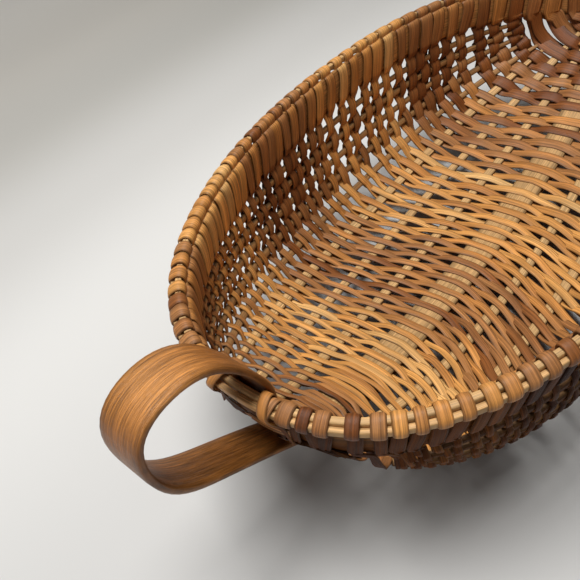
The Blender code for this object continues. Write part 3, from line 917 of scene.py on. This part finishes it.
# ---- handles
# The left strap's loop, as (inward, up) from the end of the rim: up inside the end wall, out over
# the rods, round, and back under the bowl.
LOOP = ((8.6, -6.0), (8.6, 6.0), (-10.0, 42.0), (-34.0, 51.0), (-58.0, 42.0),
        (-54.0, 1.0), (-29.0, -18.0), (8.0, -46.0))
TAIL_LENGTH = 15.0
LEG_MEETS_BOWL = 16.5
LEG_CLEAR = 0.6
STRAP_CLEAR = 0.2
FLAT_HALF_LENGTH = 52.0
FLAT_BLEND = 22.0
HALF_MEETING_GAP = 1.0
EVERY_KEEL_POINT = 5
STRAP_STATIONS = 190
STRAP_STEP = FLOOR_LEVEL - STRAP_THICKNESS / 2
# The strap is paler where it lies level and darker where it stands upright: painted shade, as from light
# above.
STRAP_TONE = 0.58
UPRIGHT_PAINTED_SHADE = 0.46


def smooth_curve(points, count):
    """A cubic B-spline that starts and ends on the first and last of its control points."""
    points = np.array(points, float)
    points = np.concatenate([[2 * points[0] - points[1]], points, [2 * points[-1] - points[-2]]])
    out = []
    for u in np.linspace(0, len(points) - 3 - 1e-9, count):
        i = int(u)
        f = u - i
        weights = np.array([(1 - f) ** 3, 3 * f ** 3 - 6 * f ** 2 + 4,
                            -3 * f ** 3 + 3 * f ** 2 + 3 * f + 1, f ** 3]) / 6
        out.append(weights @ points[i:i + 4])
    return np.array(out)


def strap_line():
    """The left strap's centre line, as (x, z), from its tail to the middle of the basket."""
    keel = np.array([line.points[0] for line in RIB_LINES if line.points[0][0] < 0])[:, [0, 2]]
    tangent = unit(np.gradient(keel, axis=0))
    under = keel - (STRAP_STEP + LEG_CLEAR) * np.stack([-tangent[:, 1], tangent[:, 0]], -1)
    end = np.array([-HALF_LENGTH - ROD_OUT, rim_level(HALF_LENGTH)])
    loop = [end + np.array(p) for p in LOOP]
    tail = loop[0] - np.array([0.0, TAIL_LENGTH])
    past_leg = under[:, 0] > -HALF_LENGTH + LEG_MEETS_BOWL
    before_flat = under[:, 0] < -FLAT_HALF_LENGTH - FLAT_BLEND
    meet = under[past_leg & before_flat]
    level = STRAP_THICKNESS / 2 + STRAP_CLEAR
    rest = [np.array([-FLAT_HALF_LENGTH, level]), np.array([-FLAT_HALF_LENGTH / 2, level]),
            np.array([-HALF_MEETING_GAP, level])]
    return smooth_curve([tail] + loop + list(meet[::EVERY_KEEL_POINT]) + rest, STRAP_STATIONS)


def strap(name, mirror, replaced):
    """One strap handle; mirror is 1 for the left one and -1 for the right one."""
    path = strap_line()
    points = np.column_stack([path[:, 0] * mirror, np.zeros(len(path)), path[:, 1]])
    run = running_length(points)
    points[:, 1] += wander(run[-1], 70, 0.35)(run)
    tangent = unit(np.gradient(points, axis=0))
    across = np.broadcast_to(np.array([0.0, 1.0, 0.0]), points.shape)
    normals = unit(np.cross(across, tangent))
    widths = STRAP_WIDTH * (1 + wander(run[-1], 45, 0.012)(run))
    thick = STRAP_THICKNESS * (1 + wander(run[-1], 30, 0.03)(run))
    # Painted shade: upright stretches of the strap are darkened.
    tone = STRAP_TONE - UPRIGHT_PAINTED_SHADE * normals[:, 0] ** 2 + wander(run[-1], 60, 0.07)(run)
    strands = Strands()
    strands.add(points, across, normals, widths, thick, STRAP_SECTION, tone)
    return strands.make(name, STRAP_CANE, "handle_cane", [replaced])


# ---- lashings
LASH_START = 13.6
LASH_STEP = 4.6
LASH_TONE = 0.5
FULL_TURN_PLACE = 2.5
FULL_TURN_WIDTH = 4.2
CROSSING_PLACE = -3.0
CROSSING_REACH = 11.0
CROSSING_WIDTH = 5.2
TIP_SHARE = 0.30
FRAYED_STRANDS = 5
FRAYED_LEVEL = -14.0
FRAYED_WIDTH = 1.3
FRAYED_THICKNESS = 0.7
FRAYED_END = 8.0
# The full turn round the rods and the band, as (inset, height) from the outline.
LASH_TURN = ((2.6, -27.6), (2.6, -20.0), (2.6, -10.0), (1.8, -4.0), (0.1, -0.4), (-0.5, 2.4), (-2.2, 4.0),
             (-4.6, 3.9), (-7.0, 2.6), (-8.9, 0.8), (-9.1, -2.0), (-7.4, -5.0), (-4.6, -8.0),
             (-3.2, -12.0), (-2.8, -20.0), (-2.5, -27.6), (-0.4, -29.0), (1.8, -29.0))
# The crossing turn: from beside the strap over the rods and down the band to a pointed tip.
LASH_CROSSING = ((1.6, -9.0), (1.8, -4.0), (1.4, 0.0), (0.2, 3.4), (-2.1, 5.2), (-4.9, 4.9), (-7.6, 3.5),
                 (-9.8, 1.0), (-10.1, -2.0), (-8.6, -5.6), (-6.2, -9.0), (-4.6, -14.0), (-3.9, -20.0),
                 (-3.8, -26.0))


def rim_path(start, step, points, advance):
    """Points given as (inset, height) at distances along the rim from one end, with its directions."""
    r = start + step * np.asarray(advance) * 2.0 / RIM_LENGTH
    centre, inward, forward = rim_frames(r)
    points = np.asarray(points)
    return centre + inward * points[:, :1] + UP * points[:, 1:], forward


def lashing(name, r_end, step, replaced):
    """A full turn, a crossing turn that ends in a point, and a tucked strip, beside a handle."""
    strands = Strands()
    turn = rounded(LASH_TURN, 60)
    slant = LASH_STEP * 0.5 * np.sin(np.linspace(0, 2 * np.pi, len(turn)))
    points, forward = rim_path(r_end, step, turn, LASH_START + FULL_TURN_PLACE + slant)
    across, normals = frames_of(points, forward)
    strands.add(points, across, normals, np.full(len(turn), FULL_TURN_WIDTH),
                np.full(len(turn), CANE_THICKNESS), CANE_SECTION, LASH_TONE - 0.1)
    cross = rounded(LASH_CROSSING, 48)
    share = np.linspace(0, 1, len(cross))
    advance = LASH_START + CROSSING_PLACE + CROSSING_REACH * share ** 1.3
    points, forward = rim_path(r_end, step, cross, advance)
    across, normals = frames_of(points, forward)
    widths = CROSSING_WIDTH * np.clip((1.0 - share) / TIP_SHARE, 0.06, 1.0) ** 0.7
    strands.add(points, across, normals, widths, np.full(len(cross), CANE_THICKNESS), CANE_SECTION,
                LASH_TONE + 0.06)
    # The strip tucked level along the outside of the band, with a frayed end near the handle.
    for part in range(FRAYED_STRANDS):
        level = FRAYED_LEVEL - part + rng.normal(0, 0.15)
        reach = rng.uniform(-3.0, 2.6)
        share = np.linspace(0, 1, 16)
        flat = np.column_stack([-5.2 + 1.6 * share - 0.6 * np.sin(share * 3.0), level - 1.5 * share])
        advance = reach + (LASH_START + FRAYED_END - reach) * share
        points, forward = rim_path(r_end, step, flat, advance)
        across, normals = frames_of(points, np.broadcast_to(UP, points.shape))
        widths = FRAYED_WIDTH * np.clip(share / 0.08, 0.35, 1.0)
        strands.add(points, across, normals * -step, widths, np.full(len(share), FRAYED_THICKNESS),
                    CANE_SECTION, LASH_TONE - 0.1)
    return strands.make(name, CANE, "lashing_cane", [replaced])


# ---- stage
# Painted light and shade on the paper by y in metres, from the first limit to the second: darker in front,
# brightest just behind the basket, a painted shaded band further back, then paler again.
PAPER_LIMITS = (-0.20, 1.20)
PAPER_PAINTED_LIGHT = ((0.0, (0.580, 0.580, 0.575)), (0.16, (0.640, 0.640, 0.635)), (0.32, (0.790, 0.790, 0.780)),
               (0.43, (0.690, 0.685, 0.670)), (0.57, (0.560, 0.550, 0.520)), (0.71, (0.620, 0.600, 0.560)),
               (1.0, (0.800, 0.780, 0.740)))
PAPER_ROUGHNESS = 0.55
VIEW_YAW = math.radians(48.01)
VIEW_PITCH = math.radians(44.18)
VIEW_ROLL = math.radians(-13.02)
VIEW_PLACE = Vector((-0.3318, -0.1371, 0.3224))
SENSOR_WIDTH = 36.0
LENS = 35.935
SKY_STRENGTH = 0.08
SOFTBOX_WATTS = 21.5
FILL_WATTS = 1.4
LAMP_COLOUR = (1.0, 0.985, 0.96)


def stage_mesh(name, points, faces):
    """A sheet of paper that only dresses the scene."""
    data = bpy.data.meshes.new(name)
    data.from_pydata(points, [], faces)
    data.polygons.foreach_set("use_smooth", [True] * len(data.polygons))
    piece = bpy.data.objects.new(name, data)
    bpy.context.scene.collection.objects.link(piece)
    made, nodes, links, shader = shader_nodes(name)
    place = nodes.new("ShaderNodeNewGeometry")
    parts = nodes.new("ShaderNodeSeparateXYZ")
    links.new(place.outputs["Position"], parts.inputs["Vector"])
    # The paper's colour is painted light and shade along y.
    share = span(nodes, links, parts.outputs["Y"], *PAPER_LIMITS, 0.0, 1.0)
    links.new(ramp(nodes, links, share, PAPER_PAINTED_LIGHT, "EASE"), shader.inputs["Base Color"])
    shader.inputs["Roughness"].default_value = PAPER_ROUGHNESS
    data.materials.append(made)
    return piece


def floor_and_sweep():
    """A pale floor that curves up into a backdrop behind the basket, in metres."""
    flat, radius, height, width, front = 1.15, 0.55, 2.4, 3.5, 3.5
    profile = [(-front, 0.0), (0.0, 0.0), (flat, 0.0)]
    for turn in np.linspace(0, math.pi / 2, 17)[1:]:
        profile.append((flat + radius * math.sin(turn), radius - radius * math.cos(turn)))
    profile.append((flat + radius, height))
    c, s = math.cos(VIEW_YAW), math.sin(VIEW_YAW)
    points = []
    for side in (-width, width):
        points += [(c * a - s * side, s * a + c * side, z) for a, z in profile]
    n = len(profile)
    faces = [(i, i + 1, n + i + 1, n + i) for i in range(n - 1)]
    return stage_mesh("floor_sweep", points, faces)


def area_light(name, place, target, size, power, colour):
    """A rectangular lamp at a place, turned to a target."""
    data = bpy.data.lights.new(name, "AREA")
    data.shape = "RECTANGLE"
    data.size, data.size_y = size
    data.energy = power
    data.color = colour
    lamp = bpy.data.objects.new(name, data)
    lamp.location = place
    lamp.rotation_euler = (Vector(target) - Vector(place)).to_track_quat("-Z", "Y").to_euler()
    bpy.context.scene.collection.objects.link(lamp)
    return lamp


def camera():
    """The camera, from its place and from how far it is turned, lowered and tilted."""
    data = bpy.data.cameras.new("camera")
    data.sensor_width = SENSOR_WIDTH
    data.lens = LENS
    data.clip_start = 0.01
    data.clip_end = 50.0
    lens = bpy.data.objects.new("camera", data)
    bpy.context.scene.collection.objects.link(lens)
    forward = Vector((math.cos(VIEW_YAW) * math.cos(VIEW_PITCH), math.sin(VIEW_YAW) * math.cos(VIEW_PITCH),
                      -math.sin(VIEW_PITCH)))
    right = Vector((math.sin(VIEW_YAW), -math.cos(VIEW_YAW), 0.0))
    up = right.cross(forward)
    tilted = math.cos(VIEW_ROLL) * right + math.sin(VIEW_ROLL) * up
    risen = -math.sin(VIEW_ROLL) * right + math.cos(VIEW_ROLL) * up
    turn = Matrix((tilted, risen, -forward)).transposed()
    lens.matrix_world = Matrix.Translation(VIEW_PLACE) @ turn.to_4x4()
    bpy.context.scene.camera = lens


def light_the_scene():
    """A softbox above, a weak fill on the left and a dim sky."""
    world = bpy.data.worlds.new("studio")
    world.use_nodes = True
    sky = world.node_tree.nodes["Background"]
    sky.inputs["Color"].default_value = (1.0, 0.98, 0.95, 1.0)
    sky.inputs["Strength"].default_value = SKY_STRENGTH
    bpy.context.scene.world = world
    area_light("softbox", (-0.20, 0.08, 1.42), (-0.10, 0.06, 0.0), (0.75, 0.65), SOFTBOX_WATTS, LAMP_COLOUR)
    area_light("side_fill", (-1.45, 0.10, 0.62), (-0.20, 0.0, 0.05), (1.2, 0.7), FILL_WATTS, LAMP_COLOUR)
    bpy.context.scene.view_settings.view_transform = "Standard"


# ---- build
rod("shaved_rod_outer", OUTER_ROD_INSET, OUTER_ROD_LIFT, OUTER_ROD_WIDTH + ROD_GAP, OUTER_ROD_HEIGHT,
    OUTER_ROD_TONE, "rim_rod_outer")
rod("shaved_rod_inner", INNER_ROD_INSET, INNER_ROD_LIFT, INNER_ROD_WIDTH, INNER_ROD_HEIGHT,
    INNER_ROD_TONE, "rim_rod_inner")
rim_band()
centre_rib()
for rib_index in range(RIB_COUNT):
    side_rib(rib_index, -1)
    side_rib(rib_index, 1)
weave()
strap("strap_left", 1, "handle_left")
strap("strap_right", -1, "handle_right")
lashing("lash_left_near", 0.0, 1, "lashing_left_near")
lashing("lash_left_far", 0.0, -1, "lashing_left_far")
lashing("lash_right_near", 1.0, -1, "lashing_right_near")
lashing("lash_right_far", 1.0, 1, "lashing_right_far")
floor_and_sweep()
light_the_scene()
camera()
